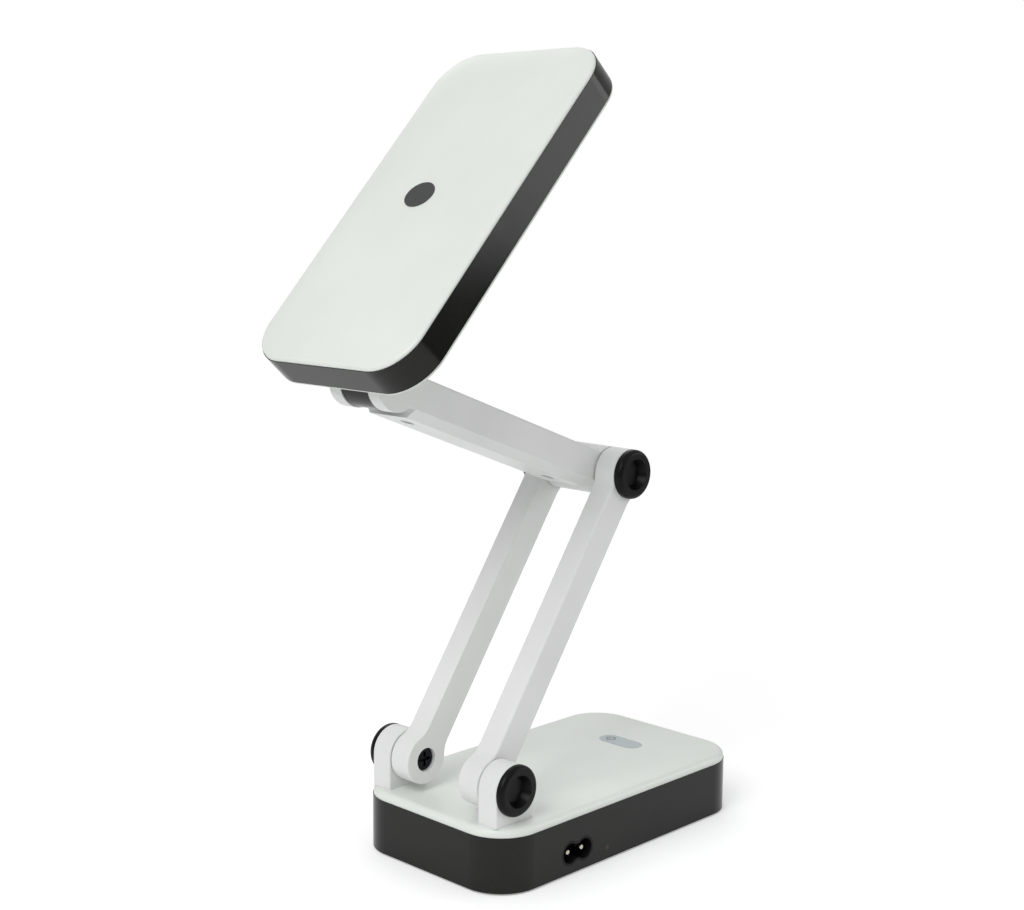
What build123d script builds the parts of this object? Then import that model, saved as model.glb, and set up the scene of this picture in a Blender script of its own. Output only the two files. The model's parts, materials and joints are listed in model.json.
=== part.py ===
from build123d import *
from math import atan, cos, degrees, radians, sin
import os

# Folding rechargeable LED desk lamp, in millimetres.
# The origin is the centre of the underside. +X runs from the hinge end of the base to its far end,
# +Y is the lamp's left side and +Z is up. The mains inlet is in the right (-Y) side.
# Left and right pieces are drawn on the left side and mirrored.

# ---- Base ----
BASE_LENGTH = 158.0
BASE_WIDTH = 90.0
BASE_CORNER = 19.0
PAD_HEIGHT = 0.8            # how far the rest pad lifts the base off the table
PAD_THICKNESS = 1.4
PAD_INSET = 11.0
BAND_TOP = 24.4
BASE_TOP = 28.0
COVER_EDGE = 2.4            # rounded upper edge of the base cover
BASE_WALL = 2.2
FLOOR_THICKNESS = 2.0
COVER_THICKNESS = 2.4
SEAM = 0.3                  # how far a cover stands back from the band beside it
SHELL_GAP = 0.1             # clearance of a lip or plate inside a band
LIP_HEIGHT = 3.0
LIP_WALL = 1.4

# ---- Hinges ----
HINGE_END_OFFSET = 15.0     # base hinge axis, from the hinge end of the base
BASE_HINGE_HEIGHT = 42.0
KNUCKLE_RADIUS = 10.8
TOWER_INSET = 7.4           # the tower's outer face, from the side of the base
TOWER_WIDTH = 10.6
TOWER_EDGE = 0.8
TOWER_TENON_INSET = 3.0     # the tower's foot in the cover, from each side of the tower
BASE_CAP_HEIGHT = 3.0
ELBOW_CAP_HEIGHT = 3.6
CAP_EDGE = 2.0
CAP_DISH_RADIUS = 6.8
CAP_DISH_DEPTH = 3.4
CAP_DISH_SLOPE = 1.8        # how much narrower the dish is at its floor
CAP_SPIGOT_RADIUS = 6.0
CAP_SPIGOT_DEPTH = 1.5
RUNNING = 0.05              # radial clearance of a shaft in the knuckle that turns on it
BASE_PIN_RADIUS = 3.0
ELBOW_SHAFT_RADIUS = 4.0
HEAD_PIN_RADIUS = 3.0
HEAD_PIN_RECESS = 0.6       # each end of the head's pin, inside the fork's side
PIN_CHAMFER = 0.5
WASHER_THICKNESS = 0.5
WASHER_GAP = 0.05           # on each face of a friction washer
FRICTION_WASHER_RADIUS = 8.6

# ---- Lower legs ----
LEG_LENGTH = 145.4
LEG_ANGLE = 55.5            # above the table, in the pose modelled
LEG_WIDTH = 11.1
LEG_DEPTH = 13.8
LEG_FILLET = 12.0           # where the bar runs into its knuckle
LEG_EDGE = 1.2
LEG_WALL = 1.8
LEG_COVER_THICKNESS = 1.4
LEG_END_WALL = 4.7          # from a knuckle to the hollow of the leg
SCREW_WELL_GAP = 0.4        # between the hinge screw's head and the well that it stands in
SCREW_WELL_DEPTH = 4.0

# ---- Upper arm ----
ARM_LENGTH = 132.6
ARM_RISE = 20.9             # above the table, running back from the elbow
ARM_TOP = 6.5               # flat top, above the line of the two axes
ARM_SEAM = 6.5              # below that line: the lower cover starts here
ARM_BOTTOM = 10.3
ARM_EDGE = 1.0
ARM_WALL = 2.0
ARM_END_WALL = 2.2          # from a barrel to the hollow of the arm
ARM_COVER_WALL = 1.0
ARM_COVER_LAP = 1.5         # of the lower cover's ends, past the hollow
ARM_SCREW_GAP = 6.0         # from the end of the hollow to a screw boss
ARM_SCREW_SUNK = 0.4
FORK_EAR_WIDTH = 6.5
FORK_SLOT_CLEARANCE = 1.0   # round the head's knuckle
FORK_SIDE_GAP = 0.3         # on each side of the head's knuckle

# ---- Head ----
HEAD_LENGTH = 168.0
HEAD_WIDTH = 90.0
HEAD_CORNER = 18.6
HEAD_TILT = 47.3            # of the head's length, above the table
HEAD_HINGE_OFFSET = 13.0    # head hinge axis, from the near end of the head
HEAD_CLEARANCE = 0.8        # between the fork's ears and the head's underside
BEZEL_THICKNESS = 1.0
HEAD_BAND_HEIGHT = 12.9
HEAD_BAND_WALL = 2.0
HEAD_COVER_THICKNESS = 2.0
HEAD_COVER_RIM = 1.2        # upright edge of the back cover, above the band
HEAD_COVER_EDGE = 1.1
HEAD_CROWN_RISE = 1.8       # from that edge up to the flat of the back
HEAD_CROWN_RUN = 9.0        # how far in from the edge the flat starts
HEAD_CROWN_RADIUS = 50.0    # of the soft bend where the flat starts
HEAD_KNUCKLE_RADIUS = 10.4
HEAD_NECK_REACH = 8.0       # of the knuckle's neck, each side of the hinge axis
KNUCKLE_FLANGE_REACH = 8.0  # past each side of the knuckle
KNUCKLE_FLANGE_THICKNESS = 2.4
KNUCKLE_SCREW_REACH = 4.5
KNUCKLE_SCREW_BITE = 0.6
WINDOW_NEAR_MARGIN = 25.0
WINDOW_FAR_MARGIN = 13.0
WINDOW_SIDE_MARGIN = 14.0
WINDOW_CORNER = 6.0
DIFFUSER_THICKNESS = 1.5
DIFFUSER_LAP = 2.0
REFLECTOR_DEPTH = 4.2
REFLECTOR_WALL = 0.8
LED_BOARD_THICKNESS = 1.2
LED_BOARD_END_GAP = 1.0
LED_BOARD_SIDE_GAP = 4.0
LED_SIZE = 3.5
LED_HEIGHT = 0.9
LED_GAP = 0.2
LED_COLUMNS = 12
LED_ROWS = 2
BADGE_FROM_END = 85.0
BADGE_SIDE_OFFSET = 4.0
BADGE_LENGTH = 13.0
BADGE_WIDTH = 15.0
BADGE_HEIGHT = 0.35
BADGE_SUNK = 0.5

# ---- Mains inlet: the standard two-pin, figure-eight pattern ----
INLET_FROM_END = 45.5
INLET_HEIGHT = 9.6
PIN_PITCH = 8.6
INLET_PIN_RADIUS = 1.2
INLET_LOBE_RADIUS = 4.4
INLET_WAIST = 6.4
INLET_BEZEL = 1.1
INLET_FLANGE = 1.0          # stops the socket behind the band
INLET_FLANGE_THICKNESS = 1.6
INLET_DEPTH = 9.0
INLET_BACK = 3.0
PIN_REACH = 7.6
PIN_TIP_RADIUS = 0.7
INLET_TAIL_RADIUS = 0.9
TAIL_REACH = 3.0            # of a pin's tail, behind the socket

# ---- Controls and electrics ----
INDICATOR_FROM_END = 64.5
INDICATOR_HEIGHT = 6.0
INDICATOR_RADIUS = 1.1
LENS_GAP = 0.2              # between the light pipe and the charger board
TOUCH_KEY_FROM_END = 125.0
TOUCH_KEY_LENGTH = 10.0
TOUCH_KEY_WIDTH = 23.0
TOUCH_KEY_SUNK = 0.7
TOUCH_KEY_PROUD = 0.15
SENSOR_BOARD_LENGTH = 20.0
SENSOR_BOARD_WIDTH = 40.0
SENSOR_PLATE_GAP = 0.1
SENSOR_POST_RADIUS = 2.4
SENSOR_SCREW_INSET = 3.0
BOARD_THICKNESS = 1.6
STANDOFF = 1.4
PILLAR_RADIUS = 1.8
PILLAR_INSET = 3.0
BATTERY_LENGTH = 66.0
BATTERY_WIDTH = 44.0
BATTERY_HEIGHT = 17.0
BATTERY_CORNER = 1.5
BATTERY_FROM_END = 45.0
BATTERY_SIDE_GAP = 5.0      # from the left side of the base
TERMINAL_SIZE = 4.0
TERMINAL_HEIGHT = 2.0
TERMINAL_INSET = 5.0
TERMINAL_PITCH = 12.0
FENCE_THICKNESS = 1.6       # of the ribs that locate the battery
FENCE_HEIGHT = 5.0
FENCE_RUN = 8.0             # of a rib, along the battery from its corner
CHARGER_LENGTH = 56.0
CHARGER_WIDTH = 18.0
CHARGER_FROM_END = 22.0
CHARGER_GAP = 0.5           # behind the tails of the inlet's pins
TRANSFORMER_FROM_END = 20.0
TRANSFORMER_LENGTH = 13.0
TRANSFORMER_WIDTH = 12.0
TRANSFORMER_HEIGHT = 11.0
LARGE_CAPACITOR_RADIUS = 4.0
LARGE_CAPACITOR_HEIGHT = 12.0
LARGE_CAPACITOR_FROM_END = 8.0
SMALL_CAPACITOR_RADIUS = 3.0
SMALL_CAPACITOR_HEIGHT = 9.0
SMALL_CAPACITOR_FROM_END = 15.5
SMALL_CAPACITOR_OFFSET = 3.0
RECTIFIER_FROM_END = 36.0
RECTIFIER_LENGTH = 2.5
RECTIFIER_WIDTH = 5.0
RECTIFIER_HEIGHT = 2.0
RECTIFIER_PITCH = 4.0
RECTIFIER_OFFSET = 3.5
RECTIFIERS = 4
LIGHT_LENGTH = 2.0          # of the indicator's chip
LIGHT_WIDTH = 1.6
LIGHT_HEIGHT = 1.2
LIGHT_INSET = 0.2
WIRE_RADIUS = 0.7
WIRE_END_GAP = 1.0
WIRE_CLEARANCE = 2.0        # from the arm's screw bosses to its wires

# ---- Screws ----
SCREW_RADIUS = 1.5
SCREW_HEAD_RADIUS = 2.8
SCREW_HEAD_HEIGHT = 1.8
LOW_HEAD_HEIGHT = 0.9       # heads let into the base's bottom cover
SHALLOW_HEAD_HEIGHT = 0.5   # heads on the head's underside
HINGE_HEAD_RADIUS = 4.8
HINGE_HEAD_HEIGHT = 2.2
BOARD_SCREW_RADIUS = 0.75
BOARD_SCREW_HEAD_RADIUS = 1.5
BOARD_SCREW_HEAD_HEIGHT = 1.0
BOARD_SCREW_BITE = 1.4
CROSS_SPAN = 0.65           # of the head's diameter
CROSS_WIDTH = 0.28          # of the head's radius
CROSS_DEPTH = 0.5           # of the head's height
HEAD_ROUNDING = 0.3         # of the head's height
BOSS_RADIUS = 3.2
RECESS_CLEARANCE = 0.2      # round a screw head in its counterbore
SCREW_BITE = 7.0            # of a thread in its boss
ARM_SCREW_BITE = 6.5
PILOT_GAP = 0.5             # under a screw's tip
BASE_SCREW_INSET = 10.0     # corner screws, from both edges
HEAD_SCREW_INSET = 10.5
TOWER_SCREW_OFFSET = 2.0    # past the hinge axis, clear of the corner screw's boss

OVERCUT = 1.0               # how far a cut runs on past the face that it opens
TOLERANCE = 0.01            # smaller than any real feature

# ---- Worked out from the values above ----
HALF_LENGTH = BASE_LENGTH / 2
HALF_WIDTH = BASE_WIDTH / 2
PIVOT_X = HINGE_END_OFFSET - HALF_LENGTH
FLOOR_TOP = PAD_HEIGHT + FLOOR_THICKNESS
COVER_UNDERSIDE = BASE_TOP - COVER_THICKNESS
BASE_INSET = BASE_WALL + SHELL_GAP
SENSOR_FACE = COVER_UNDERSIDE - STANDOFF
ELBOW_X = PIVOT_X + LEG_LENGTH * cos(radians(LEG_ANGLE))
ELBOW_Z = BASE_HINGE_HEIGHT + LEG_LENGTH * sin(radians(LEG_ANGLE))
HEAD_HINGE_X = ELBOW_X - ARM_LENGTH * cos(radians(ARM_RISE))
HEAD_HINGE_Z = ELBOW_Z + ARM_LENGTH * sin(radians(ARM_RISE))
LEG_POCKET_START = KNUCKLE_RADIUS + LEG_END_WALL
ARM_HOLLOW_START = KNUCKLE_RADIUS + ARM_END_WALL
WASHER_SPACE = WASHER_THICKNESS + 2 * WASHER_GAP
TOWER_OUTER = HALF_WIDTH - TOWER_INSET
TOWER_INNER = TOWER_OUTER - TOWER_WIDTH
TOWER_MIDDLE = TOWER_OUTER - TOWER_WIDTH / 2
LEG_OUTER = TOWER_INNER - WASHER_SPACE
LEG_INNER = LEG_OUTER - LEG_WIDTH
WELL_FLOOR = LEG_INNER + SCREW_WELL_DEPTH
ARM_HALF = LEG_INNER - WASHER_SPACE
FORK_SLOT_HALF = ARM_HALF - FORK_EAR_WIDTH
HEAD_KNUCKLE_HALF = FORK_SLOT_HALF - FORK_SIDE_GAP
HEAD_UNDERSIDE = KNUCKLE_RADIUS + HEAD_CLEARANCE
HEAD_BAND_BOTTOM = HEAD_UNDERSIDE + BEZEL_THICKNESS
HEAD_BAND_TOP = HEAD_BAND_BOTTOM + HEAD_BAND_HEIGHT
HEAD_TOP = HEAD_BAND_TOP + HEAD_COVER_RIM + HEAD_CROWN_RISE
HEAD_MIDDLE = HEAD_LENGTH / 2 - HEAD_HINGE_OFFSET
HEAD_INSET = HEAD_BAND_WALL + SHELL_GAP
KNUCKLE_FLANGE_HALF = HEAD_HINGE_OFFSET - HEAD_INSET - LIP_WALL
KNUCKLE_FLANGE_TOP = HEAD_BAND_BOTTOM + KNUCKLE_FLANGE_THICKNESS
WINDOW_LENGTH = HEAD_LENGTH - WINDOW_NEAR_MARGIN - WINDOW_FAR_MARGIN
WINDOW_WIDTH = HEAD_WIDTH - 2 * WINDOW_SIDE_MARGIN
WINDOW_MIDDLE = WINDOW_NEAR_MARGIN + WINDOW_LENGTH / 2 - HEAD_HINGE_OFFSET
DIFFUSER_TOP = HEAD_BAND_BOTTOM + DIFFUSER_THICKNESS
REFLECTOR_TOP = DIFFUSER_TOP + REFLECTOR_DEPTH
INLET_X = INLET_FROM_END - HALF_LENGTH
INLET_FLOOR = -HALF_WIDTH + INLET_DEPTH
INDICATOR_X = INDICATOR_FROM_END - HALF_LENGTH
TOUCH_KEY_X = TOUCH_KEY_FROM_END - HALF_LENGTH
ARM_SCREW_INSET = ARM_HOLLOW_START + ARM_SCREW_GAP + BOSS_RADIUS

# Each moving part is drawn flat, with its own hinge axis at the origin, then turned into its pose.
LEG_PLACE = Pos(PIVOT_X, 0, BASE_HINGE_HEIGHT) * Rot(0, -LEG_ANGLE, 0)
ELBOW_PLACE = LEG_PLACE * Pos(LEG_LENGTH, 0, 0)
ARM_PLACE = Pos(ELBOW_X, 0, ELBOW_Z) * Rot(0, ARM_RISE, 0)
HEAD_PLACE = Pos(HEAD_HINGE_X, 0, HEAD_HINGE_Z) * Rot(0, -HEAD_TILT, 0)
BASE_PLACE = Pos(0, 0, 0)
HEAD_UP = Rot(0, 0, 0)      # which way a screw's head looks
HEAD_DOWN = Rot(180, 0, 0)
HEAD_INWARD = Rot(90, 0, 0)


# ---------------------------------------------------------------- shared shapes

def slab(length, width, corner, bottom, top, x=0.0, y=0.0):
    """A plate with rounded corners, centred at x, y."""
    return extrude(Pos(x, y, bottom) * RectangleRounded(length, width, corner), amount=top - bottom)


def ring(length, width, corner, wall, bottom, top, x=0.0):
    """A rounded band with an even wall."""
    outer = slab(length, width, corner, bottom, top, x)
    inner = slab(length - 2 * wall, width - 2 * wall, corner - wall, bottom, top, x)
    return outer - inner


def rod_y(radius, start, end, x=0.0, z=0.0):
    """A round rod along Y."""
    return Pos(x, (start + end) / 2, z) * Rot(90, 0, 0) * Cylinder(radius, abs(end - start))


def rod_z(radius, bottom, top, x=0.0, y=0.0):
    """A round rod along Z."""
    return Pos(x, y, (bottom + top) / 2) * Cylinder(radius, top - bottom)


def block(x0, x1, y0, y1, z0, z1):
    """A box between two corners."""
    return Pos((x0 + x1) / 2, (y0 + y1) / 2, (z0 + z1) / 2) * Box(x1 - x0, y1 - y0, z1 - z0)


def block_on(x, y, z, length, width, height):
    """A box that stands on z, centred at x, y."""
    return Pos(x, y, z + height / 2) * Box(length, width, height)


def from_side(outline, start, end):
    """A side outline, drawn in X and Z, given its width from y = start to y = end."""
    return extrude(Plane.XZ.offset(-start) * outline, amount=start - end)


def washer_y(outer, inner, start):
    """A flat washer on an axis along Y."""
    return rod_y(outer, start, start + WASHER_THICKNESS) - rod_y(inner, start, start + WASHER_THICKNESS)


def other_side(piece):
    """The right-hand copy of a left-hand piece."""
    return mirror(piece, about=Plane.XZ)


def group(pieces):
    """Several separate pieces that share one node."""
    return Compound(children=list(pieces))


def both_sides(piece):
    """A left-hand piece and its mirror image, in one node."""
    return group([piece, other_side(piece)])


def save(name, shape, place=BASE_PLACE):
    """Write one node, turned into its pose."""
    export_step(place * shape, os.path.join("parts", name + ".step"))


def save_pair(name, left, place=BASE_PLACE):
    """Write a left-hand piece and its mirror image as two nodes."""
    save(name + "_left", left, place)
    save(name + "_right", other_side(left), place)


def corner_points(length, width, inset, middle=0.0):
    """The four corner screws of a rounded shell."""
    dx = length / 2 - inset
    dy = width / 2 - inset
    return [(middle + sx * dx, sy * dy) for sx in (-1, 1) for sy in (-1, 1)]


def screw(head_radius, head_height, shank_radius, reach):
    """A cross-recess screw along Z: the head stands on z = 0 and the shank runs down from it."""
    head = rod_z(head_radius, 0, head_height)
    head = fillet(head.faces().sort_by(Axis.Z)[-1].edges(), HEAD_ROUNDING * head_height)
    slot = Pos(0, 0, head_height) * Box(2 * head_radius * CROSS_SPAN, head_radius * CROSS_WIDTH,
                                        2 * head_height * CROSS_DEPTH)
    return head - slot - Rot(0, 0, 90) * slot + rod_z(shank_radius, -reach, 0)


def screws_at(points, z, way, head_radius, head_height, shank_radius, reach):
    """Copies of one screw, with the underside of each head at z."""
    one = way * screw(head_radius, head_height, shank_radius, reach)
    return [Pos(x, y, z) * one for x, y in points]


def hinge_cap(start, height):
    """A black cap on a hinge axis: rounded rim, deep dish, and a spigot that holds it in the knuckle."""
    cap = rod_y(KNUCKLE_RADIUS, start, start + height)
    cap = fillet(cap.faces().sort_by(Axis.Y)[-1].edges(), CAP_EDGE)
    cap += rod_y(CAP_SPIGOT_RADIUS, start - CAP_SPIGOT_DEPTH, start)
    dish = Rot(-90, 0, 0) * Cone(CAP_DISH_RADIUS - CAP_DISH_SLOPE, CAP_DISH_RADIUS, CAP_DISH_DEPTH)
    return cap - Pos(0, start + height - CAP_DISH_DEPTH / 2, 0) * dish


# ---------------------------------------------------------------- base

def inlet_outline(grow=0.0):
    """The figure-eight opening: two round lobes joined by a narrower waist, drawn in X and Z."""
    lobe = Circle(INLET_LOBE_RADIUS + grow)
    waist = Rectangle(PIN_PITCH, INLET_WAIST + 2 * grow)
    outline = Pos(-PIN_PITCH / 2, 0) * lobe + Pos(PIN_PITCH / 2, 0) * lobe + waist
    return Pos(INLET_X, INLET_HEIGHT) * outline


def base_side_band():
    """The black band round the base, open for the mains inlet and the indicator."""
    outside = -HALF_WIDTH - OVERCUT
    inside = -HALF_WIDTH + BASE_WALL + OVERCUT
    band = ring(BASE_LENGTH, BASE_WIDTH, BASE_CORNER, BASE_WALL, PAD_HEIGHT, BAND_TOP)
    band -= from_side(inlet_outline(INLET_BEZEL), outside, inside)
    return band - rod_y(INDICATOR_RADIUS, outside, inside, INDICATOR_X, INDICATOR_HEIGHT)


def pad_slab(bottom, top):
    """The rest pad's outline between two heights."""
    return slab(BASE_LENGTH - 2 * PAD_INSET, BASE_WIDTH - 2 * PAD_INSET, BASE_CORNER - PAD_INSET, bottom, top)


def battery_fence():
    """Ribs that stand round the battery's four corners."""
    x0, x1, y0, y1 = battery_bounds()
    rib = FENCE_THICKNESS
    top = FLOOR_TOP + FENCE_HEIGHT
    fence = block(x0 - rib, x1 + rib, y0 - rib, y1 + rib, FLOOR_TOP, top)
    fence -= block(x0, x1, y0, y1, FLOOR_TOP, top)
    return fence - block(x0 + FENCE_RUN, x1 - FENCE_RUN, y0 - rib, y1 + rib, FLOOR_TOP, top)


def base_bottom_cover():
    """The floor of the base, with the battery's ribs, the charger's pillars and the corner counterbores."""
    cover = slab(BASE_LENGTH - 2 * BASE_INSET, BASE_WIDTH - 2 * BASE_INSET, BASE_CORNER - BASE_INSET,
                 PAD_HEIGHT, FLOOR_TOP)
    cover -= pad_slab(PAD_HEIGHT, PAD_THICKNESS)
    for x, y in corner_points(BASE_LENGTH, BASE_WIDTH, BASE_SCREW_INSET):
        cover -= rod_z(SCREW_HEAD_RADIUS + RECESS_CLEARANCE, PAD_HEIGHT, PAD_HEIGHT + LOW_HEAD_HEIGHT, x, y)
        cover -= rod_z(SCREW_RADIUS, PAD_HEIGHT, FLOOR_TOP, x, y)
    cover += battery_fence()
    for x, y in charger_pillars():
        cover += rod_z(PILLAR_RADIUS, FLOOR_TOP, FLOOR_TOP + STANDOFF, x, y)
    return cover


def base_top_cover():
    """The white top of the base, with a lip inside the band and a boss for each screw."""
    cover = slab(BASE_LENGTH - 2 * SEAM, BASE_WIDTH - 2 * SEAM, BASE_CORNER - SEAM, BAND_TOP, BASE_TOP)
    cover = fillet(cover.faces().sort_by(Axis.Z)[-1].edges(), COVER_EDGE)
    inner = BASE_INSET + LIP_WALL
    cover -= slab(BASE_LENGTH - 2 * inner, BASE_WIDTH - 2 * inner, BASE_CORNER - inner,
                  BAND_TOP, COVER_UNDERSIDE)
    cover += ring(BASE_LENGTH - 2 * BASE_INSET, BASE_WIDTH - 2 * BASE_INSET, BASE_CORNER - BASE_INSET,
                  LIP_WALL, BAND_TOP - LIP_HEIGHT, BAND_TOP)
    for x, y in corner_points(BASE_LENGTH, BASE_WIDTH, BASE_SCREW_INSET):
        cover += rod_z(BOSS_RADIUS, FLOOR_TOP, COVER_UNDERSIDE, x, y)
        cover -= rod_z(SCREW_RADIUS, FLOOR_TOP, FLOOR_TOP + SCREW_BITE + PILOT_GAP, x, y)
    cover -= touch_key_solid(BASE_TOP - TOUCH_KEY_SUNK, BASE_TOP + OVERCUT)
    cover -= tower_tenon()
    cover -= other_side(tower_tenon())
    for x, y in sensor_screw_points():
        cover += rod_z(SENSOR_POST_RADIUS, SENSOR_FACE, COVER_UNDERSIDE, x, y)
        cover -= rod_z(BOARD_SCREW_RADIUS, SENSOR_FACE, COVER_UNDERSIDE + PILOT_GAP, x, y)
    return cover


def base_screws():
    """Close the base from below, with their heads let into the bottom cover."""
    seat = PAD_HEIGHT + LOW_HEAD_HEIGHT
    return screws_at(corner_points(BASE_LENGTH, BASE_WIDTH, BASE_SCREW_INSET), seat, HEAD_DOWN,
                     SCREW_HEAD_RADIUS, LOW_HEAD_HEIGHT, SCREW_RADIUS, FLOOR_TOP + SCREW_BITE - seat)


def tower_tenon():
    """The tower's rectangular foot, which fills a hole through the base cover."""
    reach = KNUCKLE_RADIUS - TOWER_TENON_INSET
    return block(PIVOT_X - reach, PIVOT_X + reach, TOWER_INNER + TOWER_TENON_INSET,
                 TOWER_OUTER - TOWER_TENON_INSET, COVER_UNDERSIDE, BASE_TOP)


def hinge_tower():
    """An upright lug with a round top, standing on the base cover."""
    stem_height = BASE_HINGE_HEIGHT - BASE_TOP
    stem = Pos(PIVOT_X, BASE_TOP + stem_height / 2) * Rectangle(2 * KNUCKLE_RADIUS, stem_height)
    outline = stem + Pos(PIVOT_X, BASE_HINGE_HEIGHT) * Circle(KNUCKLE_RADIUS)
    tower = from_side(outline, TOWER_INNER, TOWER_OUTER)
    above_base = [e for e in tower.faces().filter_by(Axis.Y).edges() if e.center().Z > BASE_TOP + TOLERANCE]
    tower = fillet(above_base, TOWER_EDGE) + tower_tenon()
    tower -= rod_y(BASE_PIN_RADIUS, TOWER_INNER - OVERCUT, TOWER_OUTER, PIVOT_X, BASE_HINGE_HEIGHT)
    tower -= rod_y(CAP_SPIGOT_RADIUS, TOWER_OUTER - CAP_SPIGOT_DEPTH, TOWER_OUTER, PIVOT_X, BASE_HINGE_HEIGHT)
    return tower - rod_z(SCREW_RADIUS, COVER_UNDERSIDE, COVER_UNDERSIDE + SCREW_BITE + PILOT_GAP,
                         PIVOT_X + TOWER_SCREW_OFFSET, TOWER_MIDDLE)


def tower_screws():
    """Pull the towers down from below: each head laps over both edges of its tenon's hole."""
    x = PIVOT_X + TOWER_SCREW_OFFSET
    return screws_at([(x, -TOWER_MIDDLE), (x, TOWER_MIDDLE)], COVER_UNDERSIDE, HEAD_DOWN,
                     SCREW_HEAD_RADIUS, SCREW_HEAD_HEIGHT, SCREW_RADIUS, SCREW_BITE)


def base_hinge_pin():
    """Fixed in the tower; the leg turns on it."""
    end = WELL_FLOOR - WASHER_GAP
    pin = rod_y(BASE_PIN_RADIUS, end, TOWER_OUTER - CAP_SPIGOT_DEPTH)
    return pin - rod_y(SCREW_RADIUS, end, end + SCREW_BITE + PILOT_GAP)


def base_hinge_screw():
    """Large black screw in the end of the hinge pin, seen in the well of the leg's inner face."""
    seat = WELL_FLOOR - WASHER_GAP - WASHER_THICKNESS
    return Pos(0, seat, 0) * HEAD_INWARD * screw(HINGE_HEAD_RADIUS, HINGE_HEAD_HEIGHT, SCREW_RADIUS,
                                                 WASHER_THICKNESS + SCREW_BITE)


def base_hinge_washer():
    return washer_y(HINGE_HEAD_RADIUS, SCREW_RADIUS, WELL_FLOOR - WASHER_GAP - WASHER_THICKNESS)


def base_friction_washer():
    return washer_y(FRICTION_WASHER_RADIUS, BASE_PIN_RADIUS, LEG_OUTER + WASHER_GAP)


def touch_key_solid(bottom, top):
    """The oblong of the touch key between two heights."""
    return slab(TOUCH_KEY_LENGTH, TOUCH_KEY_WIDTH, TOUCH_KEY_LENGTH / 2 - TOLERANCE, bottom, top, TOUCH_KEY_X)


def sensor_screw_points():
    reach = SENSOR_BOARD_WIDTH / 2 - SENSOR_SCREW_INSET
    return [(TOUCH_KEY_X, -reach), (TOUCH_KEY_X, reach)]


def sensor_board():
    """The touch sensor's board, screwed to two posts under the cover."""
    low = SENSOR_FACE - BOARD_THICKNESS
    board = block_on(TOUCH_KEY_X, 0, low, SENSOR_BOARD_LENGTH, SENSOR_BOARD_WIDTH, BOARD_THICKNESS)
    for x, y in sensor_screw_points():
        board -= rod_z(BOARD_SCREW_RADIUS, low, SENSOR_FACE, x, y)
    return board


def sensor_plate():
    """The copper plate that senses a finger through the cover."""
    return touch_key_solid(SENSOR_FACE, COVER_UNDERSIDE - SENSOR_PLATE_GAP)


def sensor_screws():
    return screws_at(sensor_screw_points(), SENSOR_FACE - BOARD_THICKNESS, HEAD_DOWN, BOARD_SCREW_HEAD_RADIUS,
                     BOARD_SCREW_HEAD_HEIGHT, BOARD_SCREW_RADIUS, BOARD_THICKNESS + BOARD_SCREW_BITE)


def mains_inlet_socket():
    """Moulded socket: a bezel flush with the band, a deep figure-eight recess and a closed back."""
    front = -HALF_WIDTH
    behind_band = front + BASE_WALL
    shell = from_side(inlet_outline(INLET_BEZEL), front, INLET_FLOOR + INLET_BACK)
    shell += from_side(inlet_outline(INLET_BEZEL + INLET_FLANGE), behind_band,
                       behind_band + INLET_FLANGE_THICKNESS)
    shell -= from_side(inlet_outline(), front, INLET_FLOOR)
    for x in inlet_pin_places():
        shell -= rod_y(INLET_TAIL_RADIUS, INLET_FLOOR, INLET_FLOOR + INLET_BACK, x, INLET_HEIGHT)
    return shell


def inlet_pin_places():
    return [INLET_X - PIN_PITCH / 2, INLET_X + PIN_PITCH / 2]


def inlet_pins():
    """Two round contact pins with rounded tips, each on a thinner tail through the socket's back."""
    pins = []
    for x in inlet_pin_places():
        pin = rod_y(INLET_PIN_RADIUS, INLET_FLOOR - PIN_REACH, INLET_FLOOR, x, INLET_HEIGHT)
        pin = fillet(pin.faces().sort_by(Axis.Y)[0].edges(), PIN_TIP_RADIUS)
        pin += rod_y(INLET_TAIL_RADIUS, INLET_FLOOR, INLET_FLOOR + INLET_BACK + TAIL_REACH, x, INLET_HEIGHT)
        pins.append(pin)
    return pins


def charger_bounds():
    x0 = CHARGER_FROM_END - HALF_LENGTH
    y0 = INLET_FLOOR + INLET_BACK + TAIL_REACH + CHARGER_GAP
    return x0, x0 + CHARGER_LENGTH, y0, y0 + CHARGER_WIDTH


def charger_pillars():
    x0, x1, y0, y1 = charger_bounds()
    return [(x, y) for x in (x0 + PILLAR_INSET, x1 - PILLAR_INSET)
            for y in (y0 + PILLAR_INSET, y1 - PILLAR_INSET)]


def charger_board():
    x0, x1, y0, y1 = charger_bounds()
    return block(x0, x1, y0, y1, FLOOR_TOP + STANDOFF, FLOOR_TOP + STANDOFF + BOARD_THICKNESS)


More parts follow.
